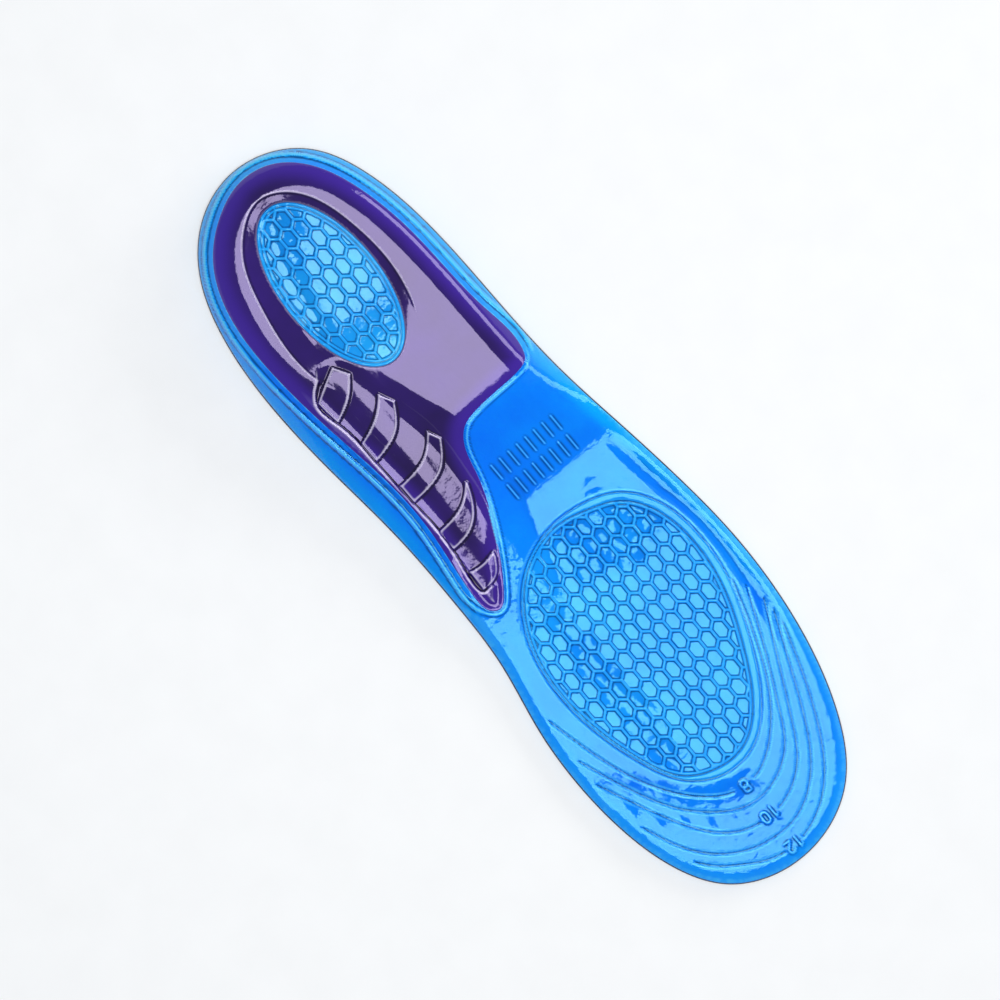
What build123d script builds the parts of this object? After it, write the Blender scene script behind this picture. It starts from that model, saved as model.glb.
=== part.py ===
from build123d import *

import os

import numpy as np

# A cushioned gel insole for the right foot, lying on a table with its moulded underside up.
# Units are millimetres. +X runs from heel to toe, +Z is the way the moulded underside faces,
# and the inner (arch) side of the foot is at -Y. The heel cup's rim and the front of the
# cloth rest on the plane Z = 0.

# Driving dimensions
SOLE_HEIGHT = 15.0          # the flat of the heel, which beds on the shoe, above the table
FOREFOOT_THICKNESS = 3.6    # cloth and gel together under the ball of the foot
HEEL_THICKNESS = 6.5        # cloth, gel and insert together under the heel bone
RIM_THICKNESS = 2.4         # cloth and gel together at the cut edge
CLOTH_THICKNESS = 0.8
INSERT_THICKNESS = 2.5      # the firm heel and arch insert, measured upright
HEEL_CUSHION_DEPTH = 3.2
FOREFOOT_CUSHION_DEPTH = 1.8

CUP_WALL_RUN = 14.0         # how far in from the edge the heel cup's wall reaches
FOREFOOT_EDGE_RUN = 4.5
ARCH_EXTRA_RUN = 8.0       # the arch side slopes over this much more
WALL_FULLNESS = 2.2         # above 1, the higher the rounder the shoulder of the wall

RAMP_OUTER = (-44.0, 2.0)   # where the underside drops to the forefoot, on the outer side
RAMP_ARCH = (-88.0, 52.0)   # and on the arch side, where the drop is longer and gentler

HEEL_OVAL_CENTRE = (-99.0, -2.7)
HEEL_OVAL_RADII = (33.0, 16.7)

BLOCK_HALF_X = 156.0         # the shaped cutting blocks reach past the insole's edge
BLOCK_HALF_Y = 55.0
BLOCK_STATIONS = 79
BLOCK_ROWS = 41
TOOL_DEPTH = 40.0           # taller than the part is high, for cutting tools
FLATTENED = 0.15            # the curved surfaces pass the two flat planes by this much

# The insole's edge, from the back of the heel along the outer side to the toe and back
# along the arch side.
EDGE_POINTS = [
    (-149.8, -4), (-140, 20.4), (-120, 31), (-95, 35.5), (-60, 36.8), (-30, 38.1),
    (0, 42), (25, 45.2), (50, 47.1), (75, 46.2), (100, 42), (120, 35.4), (140, 22.1),
    (149.8, -5), (140, -30.7), (125, -40.2), (105, -45.5), (82, -47.2), (60, -45.6),
    (35, -41.1), (10, -39.8), (-20, -40.3), (-50, -43), (-80, -44.6), (-110, -41.9),
    (-130, -34.8), (-143, -23.4),
]

# The firm insert's edge, from its outer front corner back round the heel, forward along the
# arch to its tip and back along its front edge.
INSERT_POINTS = [
    (-42, 32.8), (-60, 31.9), (-95, 29.6), (-118, 25.3), (-135, 17.2), (-143.3, 7),
    (-145, -4), (-141, -15.5), (-130, -28.3), (-112, -35.7), (-90, -37), (-62, -34.3),
    (-40, -31.2), (-18, -30.2), (3, -32.5), (13, -33.4), (18.6, -32.3), (20.6, -29.2),
    (17.5, -24.9), (8, -18.3), (-6, -10.8), (-20, -5.7), (-29, -3), (-33.8, 1),
    (-35.7, 8), (-36.2, 18), (-36.6, 26.5), (-38.2, 31),
]

# The forefoot cushion's edge, from its outer rear corner towards the toe and back.
FOREFOOT_CUSHION_POINTS = [
    (16.5, 27), (28, 35), (45, 38), (63, 35.8), (82, 28.6), (100, 18.3), (110, 6.5),
    (111.5, -5), (105, -17.8), (90, -26.2), (70, -31.5), (50, -32.4), (30, -26.7),
    (16, -14.5), (10.5, 0), (11, 14),
]


def smooth_step(value, start, end):
    """Rises from 0 at start to 1 at end, with level ends."""
    share = np.clip((value - start) / (end - start), 0.0, 1.0)
    return share * share * (3.0 - 2.0 * share)


def face_inside(curve):
    """The flat face inside a closed curve, facing up."""
    face = Face(Wire([curve]))
    return face if face.normal_at().Z > 0 else -face


def centred_edge():
    """The insole's edge, moved so that its box is centred on the origin."""
    curve = Spline(*EDGE_POINTS, periodic=True)
    middle = curve.bounding_box().center()
    return curve.moved(Location((-middle.X, -middle.Y, 0)))


def distance_inside(curve, x, y):
    """How far each point lies inside a closed curve; negative outside."""
    samples = np.array([tuple(curve.position_at(t))[:2] for t in np.linspace(0, 1, 601)])
    starts, ends = samples[:-1], samples[1:]
    runs = ends - starts
    lengths_squared = (runs ** 2).sum(axis=1)
    result = np.empty(x.shape)
    for index in np.ndindex(x.shape):
        offsets = np.array([x[index], y[index]]) - starts
        share = np.clip((offsets * runs).sum(axis=1) / lengths_squared, 0.0, 1.0)
        nearest = np.sqrt(((offsets - share[:, None] * runs) ** 2).sum(axis=1).min())
        straddles = (starts[:, 1] > y[index]) != (ends[:, 1] > y[index])
        rises = np.where(straddles, runs[:, 1], 1.0)
        crossings = starts[:, 0] + runs[:, 0] * (y[index] - starts[:, 1]) / rises
        inside = np.count_nonzero(straddles & (crossings > x[index])) % 2
        result[index] = nearest if inside else -nearest
    return result


def wall_rise(x, y, inside):
    """The share of full height at a distance inside the edge: 0 at the edge, 1 on the flat."""
    heel_share = 1.0 - smooth_step(x, -30.0, 10.0)
    arch_share = smooth_step(x, -100.0, -55.0) * (1.0 - smooth_step(x, -15.0, 25.0))
    arch_share = arch_share * (1.0 - smooth_step(y, -25.0, 5.0))
    run = (
        FOREFOOT_EDGE_RUN
        + (CUP_WALL_RUN - FOREFOOT_EDGE_RUN) * heel_share
        + ARCH_EXTRA_RUN * arch_share
    )
    share = np.clip(inside / run, 0.0, 1.0)
    beyond_edge = WALL_FULLNESS * np.clip(inside / run, -0.4, 0.0)
    return 1.0 - (1.0 - share) ** WALL_FULLNESS + beyond_edge


def flat_height(x, y):
    """The underside's height away from the edge: level heel, ramp under the waist, forefoot."""
    arch_share = 1.0 - smooth_step(y, -16.0, 2.0)
    start = RAMP_OUTER[0] + (RAMP_ARCH[0] - RAMP_OUTER[0]) * arch_share
    end = RAMP_OUTER[1] + (RAMP_ARCH[1] - RAMP_OUTER[1]) * arch_share
    forefoot_share = smooth_step(x, start, end)
    return SOLE_HEIGHT + (FOREFOOT_THICKNESS - SOLE_HEIGHT) * forefoot_share


def flat_thickness(flat):
    """Cloth, gel and insert together, by how high the underside lies there."""
    heel_share = (flat - FOREFOOT_THICKNESS) / (SOLE_HEIGHT - FOREFOOT_THICKNESS)
    return FOREFOOT_THICKNESS + (HEEL_THICKNESS - FOREFOOT_THICKNESS) * heel_share


def master_blocks(curve):
    """Two blocks wider than the insole, topped by the moulded underside and by the footbed."""
    columns = np.linspace(-BLOCK_HALF_X, BLOCK_HALF_X, BLOCK_STATIONS)
    rows = np.linspace(-BLOCK_HALF_Y, BLOCK_HALF_Y, BLOCK_ROWS)
    x, y = np.meshgrid(columns, rows, indexing="ij")
    rise = wall_rise(x, y, distance_inside(curve, x, y))
    flat = flat_height(x, y)
    underside = RIM_THICKNESS + (flat - RIM_THICKNESS) * rise + FLATTENED * rise
    footbed = (flat - flat_thickness(flat)) * rise - FLATTENED
    flat_topped = as_solid(block_under(x, y, underside) & everything_below(SOLE_HEIGHT))
    return flat_topped, block_under(x, y, footbed)


def block_under(x, y, z):
    """The block under a grid of heights, lofted through its cross-sections along X."""
    spacing = list(np.linspace(0.0, 1.0, BLOCK_ROWS))
    sections = []
    for station in zip(x, y, z):
        crest = [Vector(*point) for point in zip(*station)]
        first_foot = Vector(crest[0].X, crest[0].Y, -TOOL_DEPTH)
        last_foot = Vector(crest[-1].X, crest[-1].Y, -TOOL_DEPTH)
        sections.append(Wire([
            Edge.make_spline(crest, parameters=spacing),
            Edge.make_line(crest[-1], last_foot),
            Edge.make_line(last_foot, first_foot),
            Edge.make_line(first_foot, crest[0]),
        ]))
    return Solid.make_loft(sections)


def everything_below(height):
    """A box wider than the insole, with its top at a height."""
    box = Solid.make_box(4 * BLOCK_HALF_X, 4 * BLOCK_HALF_Y, 2 * TOOL_DEPTH)
    return box.moved(Location((-2 * BLOCK_HALF_X, -2 * BLOCK_HALF_Y, height - 2 * TOOL_DEPTH)))


def lowered(block, drop):
    """A block moved down, so that its top is the same surface at a depth."""
    return block.moved(Location((0, 0, -drop)))


def prism(face):
    """An upright prism standing on the table."""
    return Solid.extrude(face, Vector(0, 0, TOOL_DEPTH))


def tall_prism(face):
    """An upright cutting prism that passes the part above and below."""
    base = face.moved(Location((0, 0, -TOOL_DEPTH / 2)))
    return Solid.extrude(base, Vector(0, 0, TOOL_DEPTH))


def as_solid(shape):
    """The single solid that a cut leaves."""
    solids = shape.solids()
    if len(solids) != 1:
        raise ValueError(f"expected one solid, found {len(solids)}")
    return solids[0]


def layer(base, block, depth):
    """What lies inside a prism within depth of the top of a block."""
    return (base & block) - lowered(block, depth)


def make_top_cloth(outline, footbed):
    """The cloth that the foot stands on: it covers the whole footbed side."""
    sheet = prism(outline) & lowered(footbed, -CLOTH_THICKNESS)
    return as_solid(sheet - footbed)


def make_heel_cushion(oval, underside):
    """The soft oval plug under the heel bone."""
    return as_solid(layer(prism(oval), underside, HEEL_CUSHION_DEPTH))


def make_forefoot_cushion(egg, underside):
    """The soft pad under the ball of the foot."""
    return as_solid(layer(prism(egg), underside, FOREFOOT_CUSHION_DEPTH))


def make_heel_arch_insert(insert, oval, underside):
    """The firm support: a shell over the heel and arch with a window for the plug."""
    shell = layer(prism(insert), underside, INSERT_THICKNESS)
    return as_solid(shell - tall_prism(oval))


def make_gel_base(outline, insert, oval, egg, underside, footbed):
    """The full-length gel body, with a pocket for each of the other gel pieces."""
    body = (prism(outline) & underside) - lowered(footbed, -CLOTH_THICKNESS)
    pockets = [
        (insert, INSERT_THICKNESS),
        (oval, HEEL_CUSHION_DEPTH),
        (egg, FOREFOOT_CUSHION_DEPTH),
    ]
    for face, depth in pockets:
        body = body - (tall_prism(face) - lowered(underside, depth))
    return as_solid(body)


def main():
    os.makedirs("parts", exist_ok=True)
    edge_curve = centred_edge()
    outline = face_inside(edge_curve)
    insert = face_inside(Spline(*INSERT_POINTS, periodic=True))
    egg = face_inside(Spline(*FOREFOOT_CUSHION_POINTS, periodic=True))
    oval = Ellipse(*HEEL_OVAL_RADII).face().moved(Location((*HEEL_OVAL_CENTRE, 0)))
    underside, footbed = master_blocks(edge_curve)

    parts = {
        "gel_base": make_gel_base(outline, insert, oval, egg, underside, footbed),
        "heel_arch_insert": make_heel_arch_insert(insert, oval, underside),
        "heel_cushion": make_heel_cushion(oval, underside),
        "forefoot_cushion": make_forefoot_cushion(egg, underside),
        "top_cloth": make_top_cloth(outline, footbed),
    }
    for node, shape in parts.items():
        export_step(shape, f"parts/{node}.step")


main()
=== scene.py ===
import math

import bpy
import numpy as np
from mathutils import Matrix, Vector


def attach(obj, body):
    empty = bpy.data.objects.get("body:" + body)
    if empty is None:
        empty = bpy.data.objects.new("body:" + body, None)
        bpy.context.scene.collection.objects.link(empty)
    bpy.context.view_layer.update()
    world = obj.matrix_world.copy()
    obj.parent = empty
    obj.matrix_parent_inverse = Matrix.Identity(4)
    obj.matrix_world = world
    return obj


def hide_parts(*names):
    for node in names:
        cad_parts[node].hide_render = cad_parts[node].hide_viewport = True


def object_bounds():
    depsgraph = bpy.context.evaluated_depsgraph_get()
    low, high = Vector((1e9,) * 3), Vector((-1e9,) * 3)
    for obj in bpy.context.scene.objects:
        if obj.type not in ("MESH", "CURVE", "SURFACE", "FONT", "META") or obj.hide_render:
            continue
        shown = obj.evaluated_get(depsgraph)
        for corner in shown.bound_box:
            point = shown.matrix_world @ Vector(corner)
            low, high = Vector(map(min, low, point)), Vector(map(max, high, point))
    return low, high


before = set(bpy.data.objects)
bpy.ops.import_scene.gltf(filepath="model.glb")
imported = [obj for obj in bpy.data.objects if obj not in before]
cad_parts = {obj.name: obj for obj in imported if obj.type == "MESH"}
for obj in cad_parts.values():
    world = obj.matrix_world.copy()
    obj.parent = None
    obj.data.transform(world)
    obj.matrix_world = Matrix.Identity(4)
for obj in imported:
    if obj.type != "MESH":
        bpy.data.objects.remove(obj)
cad_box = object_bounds()

# A cushioned gel insole for the right foot, lying with its moulded underside up. The shapes
# are worked out in millimetres, in the row's frame, and turned into metres as each mesh is
# made: +X from heel to toe, the arch side at -Y, and +Z the way the underside faces.

MM = 0.001

# The shared shape, as the CAD has it
SOLE_HEIGHT = 15.0
FOREFOOT_THICKNESS = 3.6
HEEL_THICKNESS = 6.5
RIM_THICKNESS = 2.4
CLOTH_THICKNESS = 0.8
INSERT_THICKNESS = 2.5
HEEL_CUSHION_DEPTH = 3.2
FOREFOOT_CUSHION_DEPTH = 1.8
CUP_WALL_RUN = 14.0
FOREFOOT_EDGE_RUN = 4.5
ARCH_EXTRA_RUN = 8.0
WALL_FULLNESS = 2.2
RAMP_OUTER = (-44.0, 2.0)    # where the underside drops from the heel to the forefoot
RAMP_ARCH = (-88.0, 52.0)
HEEL_OVAL_CENTRE = (-99.0, -2.7)
HEEL_OVAL_RADII = (33.0, 16.7)

# Moulded details
CLOTH_MARGIN = 0.45          # the cloth shows this far past the gel all round
INSERT_PROUD = 0.15          # the insert stands this far above the gel round it
BEAD_GAP = 2.9               # the bead round the insert, from its edge to the bead's crest
BEAD_HEIGHT = 0.95
BEAD_REACH = 1.1
LIP_GAP = 1.1                # the lip along the insert's front edge
LIP_HEIGHT = 0.3
LIP_REACH = 0.8
SHELF_REACH = 4.5            # the level shelf along the insert's arch side, half its width
SHELF_SHIFT = 1.3
DISH_STEP = 0.35             # the plug lies in a shallow dish with a sharp step at its edge
DISH_SLOPE = 0.2
DISH_REACH = 8.0
RIB_DEPTH = 0.9              # the gaps between the arch ribs lie this far below the insert
RIB_RISE = 0.3               # and the ribs stand this far above it, before the waves
RIB_EDGE = 0.7
RIB_WAVE = 0.45              # ribs and gaps alike sink in soft waves, to twice this depth
RIB_WAVE_PITCH = 20.0
GUTTER_DEPTH = 0.4
GUTTER_REACH = 2.2
CELL_PITCH_X = 6.2           # the honeycomb
CELL_PITCH_Y = 5.2
HEEL_CELL = (-119.6, 1.7)    # the middle of one cell in each cushion
FOREFOOT_CELL = (17.4, -0.3)
CELL_WEB = 0.5
CELL_DEPTH = 0.36
CELL_WALL_RUN = 0.33
GROOVE_DEPTH = 0.4           # the trim lines
GROOVE_REACH = 0.55
GROOVE_FADE = 2.5
NUMERAL_HEIGHT = 0.4
NUMERAL_REACH = 0.55
SAG_DEPTH = 1.0              # hollows where the soft gel is slack
TROUGH_DEPTH = 0.75
BOWL_DEPTH = 0.45
PLUG_SAG_DEPTH = 0.9         # the hollow where the heel plug is slack
PLUG_SAG_REACH = 5.5
CELLS_START = 2.0            # the plug's honeycomb starts this far inside its edge, and both
                             # cushions' grids follow their cells from this far in
POCKET_WALL = (0.9, 1.4)     # a pocket's wall lies between these distances inside its piece
RELIEF_FULL = 0.045         # a point this far below its neighbours gets the full painted crease shade, and this far above them the strongest painted ridge highlight
# Each trim line: the shoe size marked on it, where its tip lies, and the points that it
# runs through from its outer end to its end on the arch side
TRIM_LINES = [
    ("8", 119.0, [
        (62, 37.3), (80, 31.3), (100, 22), (111, 13), (118, 2), (117.8, -9), (112, -18),
        (100, -27.5), (80, -35.8), (59, -41),
    ]),
    ("", 125.0, [
        (66.7, 39.4), (86.7, 30.8), (105, 21.7), (118, 13.5), (124.3, 2), (124.3, -8),
        (119.5, -17), (110, -26.5), (97, -33.8), (76, -42),
    ]),
    ("10", 131.3, [
        (74, 41.2), (93, 31.6), (112, 21.8), (124.5, 13.5), (131.3, 1), (131.5, -8.3),
        (128, -17.5), (119, -26.2), (105, -34), (86, -42.5),
    ]),
    ("", 138.0, [
        (79, 41.3), (98, 33), (116, 24.6), (130, 14.8), (138, 1), (138.3, -7),
        (135.5, -18), (129, -27.5), (120, -34.3), (107, -39.8),
    ]),
    ("12", 144.3, [
        (84.2, 40.9), (101.7, 35), (118, 28), (134, 17.5), (142, 6.5), (144.5, -4),
        (143, -13.5), (138, -22.5), (133.3, -28.8), (127, -34),
    ]),
]
NUMERAL_Y = -4.2
NUMERAL_ROOM = 4.2
NUMERAL_PITCH = 3.4
GRIP_ROWS = (-15.5, -7.0)    # the two rows of grip bars on the waist
GRIP_COUNT = 8
GRIP_START_Y = -0.5
GRIP_PITCH = 3.7
GRIP_HALF_LENGTH = 2.7

EDGE_POINTS = [
    (-149.8, -4), (-140, 20.4), (-120, 31), (-95, 35.5), (-60, 36.8), (-30, 38.1),
    (0, 42), (25, 45.2), (50, 47.1), (75, 46.2), (100, 42), (120, 35.4), (140, 22.1),
    (149.8, -5), (140, -30.7), (125, -40.2), (105, -45.5), (82, -47.2), (60, -45.6),
    (35, -41.1), (10, -39.8), (-20, -40.3), (-50, -43), (-80, -44.6), (-110, -41.9),
    (-130, -34.8), (-143, -23.4),
]
INSERT_POINTS = [
    (-42, 32.8), (-60, 31.9), (-95, 29.6), (-118, 25.3), (-135, 17.2), (-143.3, 7),
    (-145, -4), (-141, -15.5), (-130, -28.3), (-112, -35.7), (-90, -37), (-62, -34.3),
    (-40, -31.2), (-18, -30.2), (3, -32.5), (13, -33.4), (18.6, -32.3), (20.6, -29.2),
    (17.5, -24.9), (8, -18.3), (-6, -10.8), (-20, -5.7), (-29, -3), (-33.8, 1),
    (-35.7, 8), (-36.2, 18), (-36.6, 26.5), (-38.2, 31),
]
FOREFOOT_CUSHION_POINTS = [
    (16.5, 27), (28, 35), (45, 38), (63, 35.8), (82, 28.6), (100, 18.3), (110, 6.5),
    (111.5, -5), (105, -17.8), (90, -26.2), (70, -31.5), (50, -32.4), (30, -26.7),
    (16, -14.5), (10.5, 0), (11, 14),
]
DISH_POINTS = [
    (-136, -3), (-130, -15), (-122, -21), (-110, -25), (-100, -27), (-82, -27.6),
    (-68, -22), (-60, -5), (-66, 8), (-80, 15.4), (-93, 17.4), (-110, 16), (-122, 12.8),
    (-132, 6),
]
# The two sides of each arch rib, from its tip down to the arch side
RIB_SIDES = [
    [(-78, -20), (-75.5, -25), (-71.5, -32)],
    [(-72, -16.5), (-66, -22), (-61.5, -31)],
    [(-61.5, -14), (-56, -20), (-52, -29.5)],
    [(-55.5, -11), (-47.5, -17), (-43.5, -29.5)],
    [(-41.5, -9.5), (-35.5, -16), (-33, -28.7)],
    [(-36, -7), (-28.5, -13), (-25, -28.7)],
    [(-20.5, -10.5), (-15, -17), (-13, -28.3)],
    [(-19, -9.8), (-10, -14.5), (-5.5, -20.5), (-4.5, -28.8)],
    [(3.5, -18), (4.6, -23.5), (4, -29.3)],
    [(6, -18.5), (11.5, -23), (12.5, -29.6)],
]


# Plan curves

def smooth_step(value, start, end):
    """Rises from 0 at start to 1 at end, with level ends."""
    share = np.clip((value - start) / (end - start), 0.0, 1.0)
    return share * share * (3.0 - 2.0 * share)


def bump(distance, reach):
    """A rounded ridge's profile: 1 on its crest and 0 beyond its reach."""
    return 0.5 + 0.5 * np.cos(np.pi * np.clip(distance / reach, -1.0, 1.0))


def spline(corners, closed=True, samples=60):
    """Points along the smooth cubic spline through the corners."""
    knots = np.array(corners, float)
    count = len(knots)
    onward = np.roll(knots, -1, axis=0) - knots
    chords = np.linalg.norm(onward, axis=1)
    slopes = onward / chords[:, None]
    turns = 6.0 * (slopes - np.roll(slopes, 1, axis=0))
    system = np.zeros((count, count))
    for i in range(count):
        before, after = chords[i - 1], chords[i]
        system[i, i - 1] += before
        system[i, i] += 2.0 * (before + after)
        system[i, (i + 1) % count] += after
    if not closed:
        for end in (0, count - 1):
            system[end] = 0.0
            system[end, end] = 1.0
            turns[end] = 0.0
    bends = np.linalg.solve(system, turns)
    t = np.linspace(0.0, 1.0, samples, endpoint=False)[:, None]
    runs = []
    for i in range(count if closed else count - 1):
        j = (i + 1) % count
        straight = (1 - t) * knots[i] + t * knots[j]
        curve = ((1 - t) ** 3 - (1 - t)) * bends[i] + (t ** 3 - t) * bends[j]
        runs.append(straight + curve * chords[i] ** 2 / 6.0)
    if not closed:
        runs.append(knots[-1:])
    return np.concatenate(runs)


class Line:
    """A curve in plan. A closed one's left side is its inside, or a hole's is its outside."""

    def __init__(self, points, spacing, closed, hole=False):
        points = np.array(points, float)
        if closed:
            ahead = np.roll(points, -1, axis=0)
            clockwise = (points[:, 0] * ahead[:, 1] - points[:, 1] * ahead[:, 0]).sum() < 0
            if clockwise != hole:
                points = points[::-1]
            points = np.concatenate([points, points[:1]])
        runs = np.linalg.norm(np.diff(points, axis=0), axis=1)
        travelled = np.concatenate([[0.0], np.cumsum(runs)])
        self.length = travelled[-1]
        count = max(int(self.length / spacing), 8)
        self.along = np.linspace(0.0, self.length, count, endpoint=not closed)
        self.points = np.stack(
            [np.interp(self.along, travelled, points[:, k]) for k in (0, 1)], axis=1
        )
        if closed:
            heading = np.roll(self.points, -1, axis=0) - np.roll(self.points, 1, axis=0)
        else:
            heading = np.gradient(self.points, axis=0)
        self.headings = heading / np.linalg.norm(heading, axis=1)[:, None]
        self.normals = np.stack([-self.headings[:, 1], self.headings[:, 0]], axis=1)

    def measure(self, plan):
        """For each point: its distance to the left, its distance along, and the way left."""
        left = np.empty(len(plan))
        along = np.empty(len(plan))
        ways = np.empty((len(plan), 2))
        squares = (self.points ** 2).sum(axis=1)
        for start in range(0, len(plan), 20000):
            part = plan[start:start + 20000]
            nearest = (squares - 2.0 * part @ self.points.T).argmin(axis=1)
            gap = part - self.points[nearest]
            stop = start + len(part)
            left[start:stop] = (gap * self.normals[nearest]).sum(axis=1)
            along[start:stop] = self.along[nearest] + (gap * self.headings[nearest]).sum(axis=1)
            ways[start:stop] = self.normals[nearest]
        return left, along, ways

    def inside(self, plan):
        return self.measure(plan)[0]

    def away(self, plan):
        """How far each point is from an open curve, its ends included."""
        left, along, _ = self.measure(plan)
        past = np.maximum(np.maximum(-along, along - self.length), 0.0)
        return np.hypot(left, past)


def centred(points):
    middle = (points.min(axis=0) + points.max(axis=0)) / 2
    return points - middle


def oval_points(centre, radii, samples=400):
    turn = np.linspace(0.0, 2.0 * np.pi, samples, endpoint=False)
    return np.array(centre) + np.stack([np.cos(turn), np.sin(turn)], axis=1) * np.array(radii)


EDGE = Line(centred(spline(EDGE_POINTS)), 0.4, True)
INSERT = Line(spline(INSERT_POINTS), 0.3, True)
EGG = Line(spline(FOREFOOT_CUSHION_POINTS), 0.3, True)
HEEL_OVAL = oval_points(HEEL_OVAL_CENTRE, HEEL_OVAL_RADII)
OVAL = Line(HEEL_OVAL, 0.3, True)
DISH = Line(spline(DISH_POINTS), 0.3, True)
WINDOW = Line(HEEL_OVAL, 0.3, True, hole=True)


# Heights

def wall_run(plan):
    """How far in from the edge the side wall reaches."""
    x, y = plan.T
    heel_share = 1.0 - smooth_step(x, -30.0, 10.0)
    arch_share = smooth_step(x, -100.0, -55.0) * (1.0 - smooth_step(x, -15.0, 25.0))
    arch_share = arch_share * (1.0 - smooth_step(y, -25.0, 5.0))
    return (
        FOREFOOT_EDGE_RUN
        + (CUP_WALL_RUN - FOREFOOT_EDGE_RUN) * heel_share
        + ARCH_EXTRA_RUN * arch_share
    )


def wall_rise(inside, run):
    """The share of full height at a distance inside the edge: 0 at the edge, 1 on the flat."""
    return 1.0 - (1.0 - np.clip(inside / run, 0.0, 1.0)) ** WALL_FULLNESS


def shelf_shift(plan, inside):
    """How far the wall's slope is moved in to leave a level shelf along the arch side."""
    x, y = plan.T
    middle = 14.5 - 1.5 * smooth_step(x, -25.0, 5.0)
    share = 1.0 - smooth_step(y, -26.0, -12.0)
    share = share * smooth_step(x, -90.0, -60.0) * (1.0 - smooth_step(x, 4.0, 14.0))
    turn = np.clip((inside - middle) / SHELF_REACH, -1.0, 1.0)
    return SHELF_SHIFT * share * np.sin(np.pi * turn)


def flat_height(plan):
    """The underside's height away from the edge: level heel, ramp, level forefoot."""
    x, y = plan.T
    arch_share = 1.0 - smooth_step(y, -16.0, 2.0)
    start = RAMP_OUTER[0] + (RAMP_ARCH[0] - RAMP_OUTER[0]) * arch_share
    end = RAMP_OUTER[1] + (RAMP_ARCH[1] - RAMP_OUTER[1]) * arch_share
    forefoot_share = smooth_step(x, start, end)
    return SOLE_HEIGHT + (FOREFOOT_THICKNESS - SOLE_HEIGHT) * forefoot_share


def moulded(plan):
    """The moulded side's height before any detail."""
    inside = EDGE.inside(plan)
    rise = wall_rise(inside - shelf_shift(plan, inside), wall_run(plan))
    return RIM_THICKNESS + (flat_height(plan) - RIM_THICKNESS) * rise


def footbed(plan):
    """The height of the side that the foot stands on."""
    flat = flat_height(plan)
    heel_share = (flat - FOREFOOT_THICKNESS) / (SOLE_HEIGHT - FOREFOOT_THICKNESS)
    thickness = FOREFOOT_THICKNESS + (HEEL_THICKNESS - FOREFOOT_THICKNESS) * heel_share
    return (flat - thickness) * wall_rise(EDGE.inside(plan), wall_run(plan))


def cell_edge(plan):
    """The honeycomb: how far each point is from its cell's edge, and the way to the edge."""
    half_y = CELL_PITCH_Y / 2
    corner = CELL_PITCH_X * 2 / 3
    slant = np.array([half_y, corner / 2])
    slant = slant / np.linalg.norm(slant)
    best = np.full(len(plan), -np.inf)
    ways = np.zeros((len(plan), 2))
    for start_x, start_y in ((0.0, 0.0), (CELL_PITCH_X, half_y)):
        from_centre = plan - (start_x, start_y)
        pitch = (2 * CELL_PITCH_X, CELL_PITCH_Y)
        from_centre = from_centre - np.round(from_centre / pitch) * pitch
        size = np.abs(from_centre)
        to_flat = half_y - size[:, 1]
        to_slant = slant[0] * corner - size @ slant
        room = np.minimum(to_flat, to_slant)
        better = room > best
        best = np.where(better, room, best)
        way = np.where((to_flat < to_slant)[:, None], (0.0, 1.0), slant) * np.sign(from_centre)
        ways = np.where(better[:, None], way, ways)
    return best, ways


def honeycomb(plan, room):
    """How far the honeycomb's cells sink the surface; room is the distance to its border."""
    edge, _ = cell_edge(plan)
    wall = np.minimum(edge - CELL_WEB / 2, room)
    return -CELL_DEPTH * np.clip(wall / CELL_WALL_RUN, 0.0, 1.0)


def cell_bowls(plan):
    """How far cells that have sagged are hollowed, more towards their middles."""
    edge, _ = cell_edge(plan)
    from_middle = 1.0 - np.clip(edge / (CELL_PITCH_Y / 2), 0.0, 1.0)
    return BOWL_DEPTH * (1.0 - from_middle ** 2)


def dish_share(plan):
    """The dish fades out towards the waist."""
    return 1.0 - smooth_step(plan[:, 0], -90.0, -68.0)


def dish(plan):
    """The shallow dish that the heel plug lies in: a step, then an even slope inwards."""
    inside = DISH.inside(plan)
    slope = DISH_SLOPE * np.clip(inside, 0.0, DISH_REACH)
    step = DISH_STEP * smooth_step(inside, -0.1, 0.45)
    return -(slope + step) * dish_share(plan)


def rib_outlines():
    """The ribs' outlines: each rib lies between two neighbouring sides."""
    runs = [spline(side, closed=False) for side in RIB_SIDES]
    pairs = zip(runs[0::2], runs[1::2])
    return [Line(np.concatenate([left, right[::-1]]), 0.15, True) for left, right in pairs]


def rib_field():
    """The outline of the sunk field that the ribs stand in."""
    tips = [side[0] for side in RIB_SIDES[0::2]]
    feet = [side[-1] for side in reversed(RIB_SIDES[1::2])]
    return Line(spline(tips + feet + RIB_SIDES[0][-1:]), 0.3, True)


RIBS = rib_outlines()
RIB_FIELD = rib_field()


def ribs(plan):
    """The arch ribs, with the gaps between them sunk, and soft waves across both."""
    sunk = np.zeros(len(plan))
    x, y = plan.T
    near = (x > -82.0) & (x < 17.0) & (y > -36.0) & (y < -4.0)
    x, y = x[near], y[near]
    softness = 0.5 + 2.5 * smooth_step(y, -28.0, -24.0)
    field = smooth_step(RIB_FIELD.inside(plan[near]) / softness, -1.0, 1.0)
    raised = [smooth_step(rib.inside(plan[near]), -0.1, RIB_EDGE) for rib in RIBS]
    raised = np.max(raised, axis=0)
    turn = 2.0 * np.pi * (y + 22.0 + 2.5 * raised) / RIB_WAVE_PITCH
    waves = RIB_WAVE * (1.0 - np.sin(turn))
    sunk[near] = RIB_RISE * raised - field * (RIB_DEPTH * (1.0 - raised) + waves)
    return sunk


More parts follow.
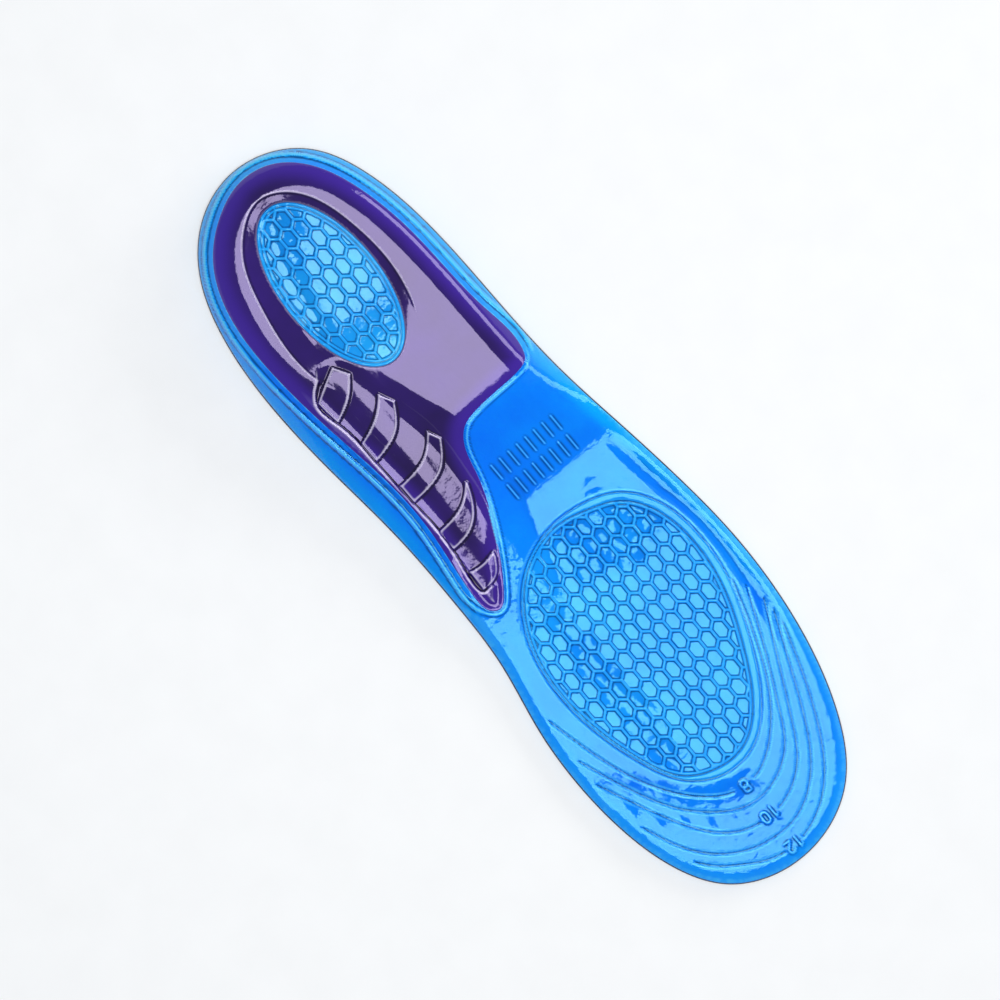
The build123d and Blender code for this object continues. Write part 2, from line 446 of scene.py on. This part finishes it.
def gutter(plan):
    """The shallow gutter along the insert's arch side, below the feet of the ribs."""
    x, y = plan.T
    share = smooth_step(x, -90.0, -75.0) * (1.0 - smooth_step(y - 0.35 * x, -32.0, -22.0))
    return -GUTTER_DEPTH * share * bump(INSERT.inside(plan) - GUTTER_REACH, GUTTER_REACH)


def insert_top(plan):
    return moulded(plan) + dish(plan) + ribs(plan) + gutter(plan)


def heel_cushion_top(plan):
    """The plug: level with the dish's floor, with a sag along its rear and arch side."""
    x, y = plan.T
    room = OVAL.inside(plan)
    border = -0.25 * bump(room - 1.3, 0.7)
    across = (y - HEEL_OVAL_CENTRE[1]) / HEEL_OVAL_RADII[1]
    back = (x - HEEL_OVAL_CENTRE[0]) / HEEL_OVAL_RADII[0]
    floor = -(DISH_STEP + 0.1 + DISH_SLOPE * (5.2 - 2.3 * across)) * dish_share(plan)
    slack = smooth_step(-across - 0.8 * back, 0.1, 0.7)
    hollow = PLUG_SAG_DEPTH * bump(room - PLUG_SAG_REACH, PLUG_SAG_REACH)
    sag = slack * (hollow + cell_bowls(plan - HEEL_CELL))
    surface = moulded(plan) + floor - sag
    return surface + border + honeycomb(plan - HEEL_CELL, room - CELLS_START)


def cushion_rim(plan):
    """How far inside the forefoot cushion's edge its inner ring lies."""
    x, y = plan.T
    return 0.9 + 1.9 * smooth_step(y - 0.25 * (60.0 - x), -14.0, 8.0)


def slackness(plan):
    """Where the forefoot's gel is slack, from 0 to 1."""
    x, y = plan.T
    rear_corner = 1.0 - smooth_step(np.hypot(x - 22.0, (y - 17.0) * 0.7), 8.0, 20.0)
    arch_side = bump(y + 17.0, 9.0) * smooth_step(x, 25.0, 40.0)
    arch_side = arch_side * (1.0 - smooth_step(x, 95.0, 108.0))
    return np.maximum(rear_corner, 0.7 * arch_side)


def sagging(plan):
    """Soft uneven hollows, where the forefoot's gel is slack."""
    x, y = plan.T
    waves = 0.5 + 0.25 * (np.sin(0.47 * x + 0.21 * y) + np.sin(0.39 * y - 0.18 * x + 1.3))
    return SAG_DEPTH * waves * slackness(plan)


def troughs(plan):
    """Two shallow troughs beside the forefoot cushion: on its outer side and at its toe end."""
    x, y = plan.T
    outer = smooth_step(y, 22.0, 34.0) * smooth_step(x, -10.0, 15.0)
    outer = outer * (1.0 - smooth_step(x, 70.0, 105.0)) * bump(EDGE.inside(plan) - 5.5, 4.5)
    toe = smooth_step(x - 0.3 * y, 94.0, 110.0) * (1.0 - smooth_step(y, -6.0, 4.0))
    from_cushion = -EGG.inside(plan) + 0.8 * np.sin(0.7 * y + 0.3 * x)
    toe = toe * smooth_step(from_cushion, -1.0, 11.0) * (1.0 - smooth_step(from_cushion, 11.0, 18.0))
    return TROUGH_DEPTH * np.maximum(outer, toe)


def forefoot_cushion_top(plan):
    x, y = plan.T
    room = EGG.inside(plan)
    ring = -0.35 * bump(room - cushion_rim(plan), 0.6)
    sag = sagging(plan) + 0.8 * slackness(plan) * cell_bowls(plan - FOREFOOT_CELL)
    surface = moulded(plan) - 0.05 - sag * smooth_step(room, 1.0, 6.0)
    return surface + ring + honeycomb(plan - FOREFOOT_CELL, room - cushion_rim(plan) - 0.9)


def numeral_strokes(numeral):
    """The strokes of one numeral, 4.5 mm high, as (across, up) points."""
    turn = np.linspace(0.0, 2.0 * np.pi, 33)
    if numeral == "0":
        return [np.stack([1.25 * np.cos(turn), 2.1 * np.sin(turn)], axis=1)]
    if numeral == "1":
        return [np.array([(-0.8, 1.3), (0.1, 2.1), (0.1, -2.1)])]
    if numeral == "2":
        hook = np.linspace(math.radians(165.0), math.radians(-35.0), 17)
        top = np.stack([1.15 * np.cos(hook), 0.95 + 1.15 * np.sin(hook)], axis=1)
        return [np.concatenate([top, [(-1.2, -2.1), (1.3, -2.1)]])]
    ring = np.stack([1.1 * np.cos(turn), np.sin(turn)], axis=1)
    return [ring + (0.0, 1.1), ring * (1.15, 1.1) - (0.0, 1.05)]


def size_marks():
    """Every stroke of the shoe sizes on the trim lines."""
    strokes = []
    for size, tip, _ in TRIM_LINES:
        for place, numeral in enumerate(size):
            across = (place - (len(size) - 1) / 2) * NUMERAL_PITCH
            for stroke in numeral_strokes(numeral):
                x = tip + stroke[:, 1]
                y = NUMERAL_Y - across - stroke[:, 0]
                strokes.append(Line(np.stack([x, y], axis=1), 0.1, False))
    return strokes


def grip_bars():
    """Two rows of short raised bars on the waist."""
    bars = []
    for row_x in GRIP_ROWS:
        for number in range(GRIP_COUNT):
            y = GRIP_START_Y + GRIP_PITCH * number
            ends = [(row_x - GRIP_HALF_LENGTH, y), (row_x + GRIP_HALF_LENGTH, y)]
            bars.append(Line(ends, 0.2, False))
    return bars


TRIM_CURVES = [Line(spline(points, closed=False), 0.3, False) for _, _, points in TRIM_LINES]
RAISED_MARKS = size_marks() + grip_bars()


def trim_grooves(plan):
    sunk = np.zeros(len(plan))
    near = plan[:, 0] > 50.0
    part = plan[near]
    from_numeral = np.abs(part[:, 1] - NUMERAL_Y)
    for curve, (size, _, _) in zip(TRIM_CURVES, TRIM_LINES):
        left, along, _ = curve.measure(part)
        fade = smooth_step(np.minimum(along, curve.length - along), -0.5, GROOVE_FADE)
        groove = bump(left, GROOVE_REACH) * fade
        if size:
            groove = groove * smooth_step(from_numeral, NUMERAL_ROOM - 0.5, NUMERAL_ROOM)
        sunk[near] = np.minimum(sunk[near], -GROOVE_DEPTH * groove)
    return sunk


def raised_marks(plan):
    """How far the numerals and the grip bars stand above the surface."""
    raised = np.zeros(len(plan))
    for mark in RAISED_MARKS:
        low, high = mark.points.min(axis=0) - 1.0, mark.points.max(axis=0) + 1.0
        near = ((plan > low) & (plan < high)).all(axis=1)
        ridge = NUMERAL_HEIGHT * bump(mark.away(plan[near]), NUMERAL_REACH)
        raised[near] = np.maximum(raised[near], ridge)
    return raised


def gel_top(plan):
    x, y = plan.T
    outside_insert = -INSERT.inside(plan)
    front_share = smooth_step(x, -44.0, -37.0) * smooth_step(y + 0.62 * (x + 30.0), -9.0, -3.0)
    bead_gap = BEAD_GAP - 1.6 * smooth_step(x, 8.0, 20.0)
    bead_height = BEAD_HEIGHT * (1.0 - smooth_step(x, 30.0, 50.0)) * (1.0 - front_share)
    bead = bead_height * bump(outside_insert - bead_gap, BEAD_REACH)
    lip = LIP_HEIGHT * front_share * bump(outside_insert - LIP_GAP, LIP_REACH)
    pockets = (
        INSERT_THICKNESS * smooth_step(-outside_insert, *POCKET_WALL)
        + (HEEL_CUSHION_DEPTH - INSERT_THICKNESS) * smooth_step(OVAL.inside(plan), *POCKET_WALL)
        + FOREFOOT_CUSHION_DEPTH * smooth_step(EGG.inside(plan), *POCKET_WALL)
    )
    joint = 0.3 * bump(EGG.inside(plan), 0.9)
    surface = moulded(plan) - INSERT_PROUD - pockets - joint
    around_pad = smooth_step(-EGG.inside(plan), 0.5, 5.0)
    surface = surface - (sagging(plan) + troughs(plan)) * around_pad
    return surface + bead + lip + trim_grooves(plan) + raised_marks(plan)


# Meshes

def plan_grid(borders, inset, spacing):
    """A square grid that fills a region, with its border points moved onto the borders.

    Returns the points, the squares, and the loop of border points along each border.
    """
    low = borders[0].points.min(axis=0) - spacing
    high = borders[0].points.max(axis=0) + 2 * spacing
    x, y = np.meshgrid(
        np.arange(low[0], high[0], spacing), np.arange(low[1], high[1], spacing), indexing="ij"
    )
    plan = np.stack([x.ravel(), y.ravel()], axis=1)
    room = np.min([border.inside(plan) for border in borders], axis=0) - inset
    kept = room.reshape(x.shape) > -0.45 * spacing
    i, j = np.nonzero(kept[:-1, :-1] & kept[1:, :-1] & kept[1:, 1:] & kept[:-1, 1:])
    number = np.arange(len(plan)).reshape(x.shape)
    quads = np.stack([number[i, j], number[i + 1, j], number[i + 1, j + 1], number[i, j + 1]], 1)
    used, quads = np.unique(quads, return_inverse=True)
    quads = quads.reshape(-1, 4)
    plan = plan[used]
    edges = np.concatenate([quads[:, [k, (k + 1) % 4]] for k in range(4)])
    forward = edges[:, 0] * len(plan) + edges[:, 1]
    backward = edges[:, 1] * len(plan) + edges[:, 0]
    follow = dict(edges[~np.isin(forward, backward)].tolist())
    loops = {}
    while follow:
        loop = [next(iter(follow))]
        while loop[-1] in follow:
            loop.append(follow.pop(loop[-1]))
        loop = np.array(loop[:-1])
        gaps = [np.abs(border.inside(plan[loop]) - inset).mean() for border in borders]
        border = int(np.argmin(gaps))
        for _ in range(3):
            left, _, ways = borders[border].measure(plan[loop])
            plan[loop] += ways * (inset - left)[:, None]
        loops[border] = loop
    return plan, quads, loops


def settle(plan, fixed, distance, ways, levels, reach):
    """Moves points sideways onto a line's contours, so that a ridge has even facets."""
    target = levels[np.abs(distance[:, None] - levels).argmin(axis=1)]
    near = (np.abs(target - distance) < reach) & ~fixed
    plan[near] += ways[near] * (target - distance)[near, None]
    fixed |= near


def zip_loops(outer, inner, outer_along, inner_along):
    """Triangles between two loops that run the same way, matched by distance along."""
    outer = np.roll(outer, -outer_along.argmin())
    outer_along = np.roll(outer_along, -outer_along.argmin())
    inner = np.roll(inner, -inner_along.argmin())
    inner_along = np.roll(inner_along, -inner_along.argmin())
    faces = []
    i, j = 0, 0
    while i < len(outer) or j < len(inner):
        next_outer = outer_along[i + 1] if i + 1 < len(outer) else np.inf
        next_inner = inner_along[j + 1] if j + 1 < len(inner) else np.inf
        here, there = outer[i % len(outer)], inner[j % len(inner)]
        if j >= len(inner) or (i < len(outer) and next_outer <= next_inner):
            faces.append((here, outer[(i + 1) % len(outer)], there))
            i += 1
        else:
            faces.append((here, inner[(j + 1) % len(inner)], there))
            j += 1
    return faces


def rounded_edge(radius, steps=4):
    """Rings round an edge: how far in from the outline, and how far below the top."""
    turns = [math.radians(90.0 * step / steps) for step in range(1, steps + 1)]
    return [(radius * (1 - math.sin(t)), -radius * (1 - math.cos(t))) for t in turns]


def read_points(mesh, what="co"):
    values = np.empty(len(mesh.vertices) * 3, np.float32)
    mesh.vertices.foreach_get(what, values)
    return values.reshape(-1, 3).astype(float)


def add_attribute(mesh, name, values):
    attribute = mesh.attributes.new(name, "FLOAT", "POINT")
    attribute.data.foreach_set("value", values.astype(np.float32))


def fade_attribute(mesh, name, share):
    stored = mesh.attributes[name].data
    values = np.empty(len(stored), np.float32)
    stored.foreach_get("value", values)
    stored.foreach_set("value", (values * share).astype(np.float32))


def mark_relief(mesh):
    """Stores how far each point stands above (+) or lies below (-) the points round it; the gel
    colours turn this into painted ridge highlights and painted crease shade.
    """
    ends = np.empty(len(mesh.edges) * 2, np.int32)
    mesh.edges.foreach_get("vertices", ends)
    a, b = ends.reshape(-1, 2).T
    count = len(mesh.vertices)
    neighbours = np.maximum(np.bincount(a, minlength=count) + np.bincount(b, minlength=count), 1)

    def around(values):
        total = np.bincount(a, values[b], count) + np.bincount(b, values[a], count)
        return total / neighbours

    points, normals = read_points(mesh), read_points(mesh, "normal")
    offsets = np.stack([points[:, k] - around(points[:, k]) for k in range(3)], axis=1)
    height = (offsets * normals).sum(axis=1)
    height = 0.5 * height + 0.5 * around(height)
    add_attribute(mesh, "relief", np.clip(height / (RELIEF_FULL * MM), -1.0, 1.0))


def slab(name, borders, top, bottom, spacing, margin=0.0, radius=0.4, tuck=0.0, adjust=None,
         coarse=2.0):
    """A closed piece between two heights, with a rounded upper edge, as a Blender object.

    borders are its outline and any windows. margin is how far inside the outline the piece
    ends, tuck how much further in it ends below its upper edge, and coarse the spacing of
    the grid on its hidden side.
    """
    plan, quads, loops = plan_grid(borders, margin + radius, spacing)
    fixed = np.zeros(len(plan), bool)
    for loop in loops.values():
        fixed[loop] = True
    if adjust:
        adjust(plan, fixed)
    low_plan, low_quads, low_loops = plan_grid(borders, margin + tuck + 0.3, coarse)
    points = [np.column_stack([low_plan, bottom(low_plan)]), np.column_stack([plan, top(plan)])]
    faces = low_quads[:, ::-1].tolist() + (quads + len(low_plan)).tolist()
    total = len(low_plan) + len(plan)
    rings = [(inset, drop, None) for inset, drop in rounded_edge(radius)]
    rings.append((tuck, -radius - 0.35 * (tuck > 0), None))
    rings.append((tuck, 0.0, 0.15))
    for border, loop in loops.items():
        left, along, ways = borders[border].measure(plan[loop])
        feet = plan[loop] - ways * left[:, None]
        ring = loop + len(low_plan)
        for inset, drop, lift in rings:
            spot = feet + ways * (margin + inset)
            if lift is None:
                height = np.maximum(top(spot) + drop, bottom(spot) + 0.3)
            else:
                height = bottom(spot) + lift
            points.append(np.column_stack([spot, height]))
            new = np.arange(total, total + len(loop))
            total += len(loop)
            faces += np.stack([np.roll(ring, -1), ring, new, np.roll(new, -1)], 1).tolist()
            ring = new
        _, low_along, _ = borders[border].measure(low_plan[low_loops[border]])
        length = borders[border].length
        seam = zip_loops(ring, low_loops[border], along % length, low_along % length)
        faces += [face[::-1] for face in seam]
    mesh = bpy.data.meshes.new(name)
    mesh.from_pydata((np.concatenate(points) * MM).tolist(), [], faces)
    mesh.validate()
    mesh.update()
    mesh.shade_smooth()
    mark_relief(mesh)
    piece = bpy.data.objects.new(name, mesh)
    bpy.context.scene.collection.objects.link(piece)
    return piece


def align_cells(offset, outline, rim):
    """Settles a grid onto the upper and lower edges of the honeycomb's walls."""
    def adjust(plan, fixed):
        distance, ways = cell_edge(plan - offset)
        levels = np.array([CELL_WEB / 2, CELL_WEB / 2 + CELL_WALL_RUN])
        inner = outline.inside(plan) > rim
        far = fixed | ~inner
        settle(plan, far, -distance, ways, -levels, 0.17)
    return adjust


def align_gel(plan, fixed):
    """Settles the gel base's grid along its trim lines and the bead round the insert."""
    for curve in TRIM_CURVES:
        left, _, ways = curve.measure(plan)
        settle(plan, fixed, left, ways, np.array([-GROOVE_REACH, 0.0, GROOVE_REACH]), 0.25)
    left, _, ways = INSERT.measure(plan)
    levels = -BEAD_GAP + BEAD_REACH * np.array([-1.0, -0.5, 0.0, 0.5, 1.0])
    settle(plan, fixed, left, ways, levels, 0.24)


def align_insert(plan, fixed):
    """Settles the insert's grid along the edges of the dish and of the ribs."""
    left, _, ways = DISH.measure(plan)
    settle(plan, fixed, left, ways, np.array([-0.1, 0.45]), 0.2)
    for rib in RIBS:
        left, _, ways = rib.measure(plan)
        settle(plan, fixed, left, ways, np.array([-0.1, RIB_EDGE]), 0.2)


# Materials

def new_material(name):
    material = bpy.data.materials.new(name)
    material.use_nodes = True
    nodes = material.node_tree.nodes
    return material, nodes, material.node_tree.links, nodes["Principled BSDF"]


def noise(nodes, links, scale, detail=3.0):
    """A noise texture in the object's own coordinates."""
    place = nodes.new("ShaderNodeTexCoord")
    texture = nodes.new("ShaderNodeTexNoise")
    texture.inputs["Scale"].default_value = scale
    texture.inputs["Detail"].default_value = detail
    links.new(place.outputs["Object"], texture.inputs["Vector"])
    return texture


def colour_ramp(nodes, links, factor, stops):
    ramp = nodes.new("ShaderNodeValToRGB")
    ramp.color_ramp.elements[0].position = stops[0][0]
    ramp.color_ramp.elements[0].color = (*stops[0][1], 1.0)
    ramp.color_ramp.elements[1].position = stops[1][0]
    ramp.color_ramp.elements[1].color = (*stops[1][1], 1.0)
    links.new(factor, ramp.inputs["Fac"])
    return ramp


def attribute_mix(nodes, links, colour, name, low, high, tint):
    """Blends a colour towards a tint as a stored attribute goes from low to high."""
    stored = nodes.new("ShaderNodeAttribute")
    stored.attribute_name = name
    span = nodes.new("ShaderNodeMapRange")
    span.inputs["From Min"].default_value = low
    span.inputs["From Max"].default_value = high
    links.new(stored.outputs["Fac"], span.inputs["Value"])
    mix = nodes.new("ShaderNodeMix")
    mix.data_type = "RGBA"
    links.new(span.outputs["Result"], mix.inputs["Factor"])
    links.new(colour, mix.inputs["A"])
    mix.inputs["B"].default_value = (*tint, 1.0)
    return mix.outputs["Result"]


def gel_material(name, deep, light, rim, hollow, crest, glow, shine, gloss=0.5, unevenness=0.75):
    """A glossy gel: clouded colour, with painted shade in its creases, painted highlights on its fine
    ridges and a painted glow at its rim.
    """
    material, nodes, links, shader = new_material(name)
    clouds = noise(nodes, links, 38.0)
    ramp = colour_ramp(nodes, links, clouds.outputs["Fac"], [(0.35, deep), (0.7, light)])
    # Painted glow: the colour lightens towards the rim tint where the 'rim' attribute is high,
    # standing in for light through the thin gel at the edges.
    colour = attribute_mix(nodes, links, ramp.outputs["Color"], "rim", 0.0, 1.0, rim)
    # Painted shade in creases where 'relief' is below zero, and painted highlight on fine ridges
    # where it is above zero.
    colour = attribute_mix(nodes, links, colour, "relief", -0.1, -1.0, hollow)
    colour = attribute_mix(nodes, links, colour, "relief", 0.15, 1.2, crest)
    links.new(colour, shader.inputs["Base Color"])
    shader.inputs["Roughness"].default_value = 0.07
    shader.inputs["IOR"].default_value = 1.5
    shader.inputs["Specular IOR Level"].default_value = gloss
    shader.inputs["Specular Tint"].default_value = (*shine, 1.0)
    shader.inputs["Subsurface Weight"].default_value = glow
    shader.inputs["Subsurface Radius"].default_value = (0.1, 0.4, 1.0)
    shader.inputs["Subsurface Scale"].default_value = 0.004
    waves = noise(nodes, links, 330.0, 2.0)
    bump_node = nodes.new("ShaderNodeBump")
    bump_node.inputs["Strength"].default_value = unevenness
    bump_node.inputs["Distance"].default_value = 0.0002
    links.new(waves.outputs["Fac"], bump_node.inputs["Height"])
    links.new(bump_node.outputs["Normal"], shader.inputs["Normal"])
    return material


def cloth_material():
    """A fine grey knit: rows of small loops, from two crossed waves."""
    material, nodes, links, shader = new_material("grey_knit")
    place = nodes.new("ShaderNodeTexCoord")
    rows = []
    for direction in ("X", "Y"):
        wave = nodes.new("ShaderNodeTexWave")
        wave.bands_direction = direction
        wave.inputs["Scale"].default_value = 320.0
        wave.inputs["Distortion"].default_value = 1.5
        wave.inputs["Detail"].default_value = 2.0
        links.new(place.outputs["Object"], wave.inputs["Vector"])
        rows.append(wave)
    weave = nodes.new("ShaderNodeMath")
    weave.operation = "MULTIPLY"
    links.new(rows[0].outputs["Fac"], weave.inputs[0])
    links.new(rows[1].outputs["Fac"], weave.inputs[1])
    ramp = colour_ramp(
        nodes, links, weave.outputs["Value"],
        [(0.0, (0.022, 0.035, 0.06)), (0.8, (0.07, 0.1, 0.15))],
    )
    links.new(ramp.outputs["Color"], shader.inputs["Base Color"])
    shader.inputs["Roughness"].default_value = 0.85
    shader.inputs["Sheen Weight"].default_value = 0.3
    bump_node = nodes.new("ShaderNodeBump")
    bump_node.inputs["Strength"].default_value = 0.5
    bump_node.inputs["Distance"].default_value = 0.0003
    links.new(weave.outputs["Value"], bump_node.inputs["Height"])
    links.new(bump_node.outputs["Normal"], shader.inputs["Normal"])
    return material


def finish_piece(piece, node, material):
    piece.data.materials.append(material)
    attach(piece, "root")
    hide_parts(node)


# Pieces

# The rim colour is a painted glow, standing in for light through the thin gel at the edges.
BLUE_RIM_GLOW = (0.0, 0.36, 0.9)
# The hollow colour is painted shade for creases; the crest colours are painted highlights for fine
# ridges.
BLUE_CREASE_SHADE = (0.0, 0.05, 0.24)
BLUE_RIDGE_HIGHLIGHT = (0.1, 0.6, 1.0)
PAD_RIDGE_HIGHLIGHT = (0.02, 0.4, 1.0)
BLUE_SHINE = (0.3, 0.95, 1.0)
PLUG_SHINE = (0.5, 1.0, 0.92)
VIOLET_SHINE = (0.76, 0.65, 1.0)
BLUE_GEL = gel_material(
    "blue_gel", (0.0, 0.17, 0.93), (0.0, 0.25, 1.0), BLUE_RIM_GLOW, BLUE_CREASE_SHADE, BLUE_RIDGE_HIGHLIGHT, 0.2,
    BLUE_SHINE,
)
PAD_GEL = gel_material(
    "pad_gel", (0.0, 0.22, 0.93), (0.005, 0.32, 1.0), BLUE_RIM_GLOW, BLUE_CREASE_SHADE, PAD_RIDGE_HIGHLIGHT, 0.1,
    BLUE_SHINE,
)
PLUG_GEL = gel_material(
    "plug_gel", (0.0, 0.26, 0.86), (0.01, 0.38, 0.92), BLUE_RIM_GLOW, BLUE_CREASE_SHADE, PAD_RIDGE_HIGHLIGHT, 0.1,
    PLUG_SHINE,
)
# For the violet, the third colour is a painted glow near the insert's edge, the fourth painted crease
# shade and the fifth a painted lavender highlight on ridges.
VIOLET_GEL = gel_material(
    "violet_gel", (0.012, 0.003, 0.07), (0.024, 0.006, 0.15), (0.05, 0.014, 0.36),
    (0.003, 0.001, 0.016), (0.75, 0.68, 0.9), 0.0, VIOLET_SHINE, gloss=0.62, unevenness=0.25,
)


def build_gel_base():
    def bottom(plan):
        return footbed(plan) + CLOTH_THICKNESS
    piece = slab(
        "gel_base_body", [EDGE], gel_top, bottom, 0.53, margin=CLOTH_MARGIN, adjust=align_gel,
    )
    plan = read_points(piece.data)[:, :2] / MM
    # Painted glow along the rim: the colour lightens within a few millimetres of the edge, most on
    # the outer side that faces the side softbox and towards the heel, standing in for light through
    # the thin gel wall.
    outer_share = 0.5 + 0.5 * smooth_step(plan[:, 1] - 0.3 * plan[:, 0], -10.0, 40.0)
    heel_share = 1.0 - 0.35 * smooth_step(plan[:, 0], -20.0, 60.0)
    rim = (1.0 - smooth_step(EDGE.inside(plan), 2.0, 7.0)) * outer_share * heel_share
    add_attribute(piece.data, "rim", rim)
    finish_piece(piece, "gel_base", BLUE_GEL)


def build_insert():
    def bottom(plan):
        return moulded(plan) - INSERT_THICKNESS
    shell = slab(
        "heel_arch_insert_shell", [INSERT, WINDOW], insert_top, bottom, 0.4, tuck=0.7,
        adjust=align_insert,
    )
    room = INSERT.inside(read_points(shell.data)[:, :2] / MM)
    # Painted glow: the violet lightens within about 8 mm of the insert's edge, standing in for light
    # shining through the thin gel there.
    add_attribute(shell.data, "rim", 0.7 * (1.0 - smooth_step(room, 1.5, 8.0)))
    # The painted crease shade and ridge highlight fade out within 1.4 mm of the insert's edge.
    fade_attribute(shell.data, "relief", smooth_step(room, 0.4, 1.4))
    finish_piece(shell, "heel_arch_insert", VIOLET_GEL)


def build_heel_cushion():
    def bottom(plan):
        return moulded(plan) - HEEL_CUSHION_DEPTH
    piece = slab(
        "heel_cushion_plug", [OVAL], heel_cushion_top, bottom, 0.33, radius=0.5,
        adjust=align_cells(HEEL_CELL, OVAL, CELLS_START),
    )
    finish_piece(piece, "heel_cushion", PLUG_GEL)


def build_forefoot_cushion():
    def bottom(plan):
        return moulded(plan) - FOREFOOT_CUSHION_DEPTH
    piece = slab(
        "forefoot_cushion_pad", [EGG], forefoot_cushion_top, bottom, 0.33, radius=0.5, tuck=0.7,
        adjust=align_cells(FOREFOOT_CELL, EGG, CELLS_START),
    )
    finish_piece(piece, "forefoot_cushion", PAD_GEL)


def build_top_cloth():
    def top(plan):
        return footbed(plan) + CLOTH_THICKNESS - 0.01
    piece = slab("top_cloth_sheet", [EDGE], top, footbed, 1.2, radius=0.3, coarse=1.2)
    finish_piece(piece, "top_cloth", cloth_material())


build_gel_base()
build_insert()
build_heel_cushion()
build_forefoot_cushion()
build_top_cloth()


# Floor, light and camera

def build_floor():
    """A plain white table that the insole lies on."""
    side = 3.0
    mesh = bpy.data.meshes.new("floor")
    corners = [(-side, -side, 0), (side, -side, 0), (side, side, 0), (-side, side, 0)]
    mesh.from_pydata(corners, [], [(0, 1, 2, 3)])
    floor = bpy.data.objects.new("floor", mesh)
    bpy.context.scene.collection.objects.link(floor)
    material, nodes, links, shader = new_material("white_table")
    grain = noise(nodes, links, 60.0)
    ramp = colour_ramp(
        nodes, links, grain.outputs["Fac"], [(0.3, (0.93, 0.93, 0.93)), (0.7, (0.95, 0.95, 0.95))]
    )
    links.new(ramp.outputs["Color"], shader.inputs["Base Color"])
    shader.inputs["Roughness"].default_value = 0.8
    mesh.materials.append(material)


def add_softbox(name, place, aim, size, power):
    light = bpy.data.lights.new(name, "AREA")
    light.shape = "RECTANGLE"
    light.size, light.size_y = size
    light.energy = power
    lamp = bpy.data.objects.new(name, light)
    bpy.context.scene.collection.objects.link(lamp)
    lamp.location = place
    away = np.array(place, float) - np.array(aim, float)
    flat = math.hypot(away[0], away[1])
    lamp.rotation_euler = (math.atan2(flat, away[2]), 0.0, math.atan2(away[1], away[0]) + math.pi / 2)
    lamp.visible_camera = False


CAMERA_TURN = math.radians(50.0)      # the picture's upward way, against the insole's length
PICTURE_WIDTH = 1.122                 # against the insole's length
LENS = 200.0
SENSOR = 36.0


def build_camera():
    """Straight above, looking down, with a long lens."""
    low, high = cad_box
    length = high[0] - low[0]
    camera_data = bpy.data.cameras.new("camera")
    camera_data.lens = LENS
    camera_data.sensor_width = SENSOR
    camera_data.clip_end = 20.0
    camera = bpy.data.objects.new("camera", camera_data)
    bpy.context.scene.collection.objects.link(camera)
    distance = LENS / SENSOR * PICTURE_WIDTH * length
    camera.location = (-0.0254 * length, -0.019 * length, distance)
    camera.rotation_euler = (0.0, 0.0, CAMERA_TURN)
    bpy.context.scene.camera = camera


def build_world():
    world = bpy.data.worlds.new("studio")
    world.use_nodes = True
    background = world.node_tree.nodes["Background"]
    background.inputs["Color"].default_value = (0.9, 0.95, 1.0, 1.0)
    background.inputs["Strength"].default_value = 0.42
    bpy.context.scene.world = world


build_floor()
build_camera()
build_world()
add_softbox("softbox_above", (0.0, 0.0, 1.3), (0.0, 0.0, 0.0), (0.62, 0.62), 10.0)
add_softbox("softbox_outer_side", (0.1, 1.4, 0.36), (0.0, 0.0, 0.0), (1.4, 0.3), 8.0)
bpy.context.scene.view_settings.view_transform = "Standard"
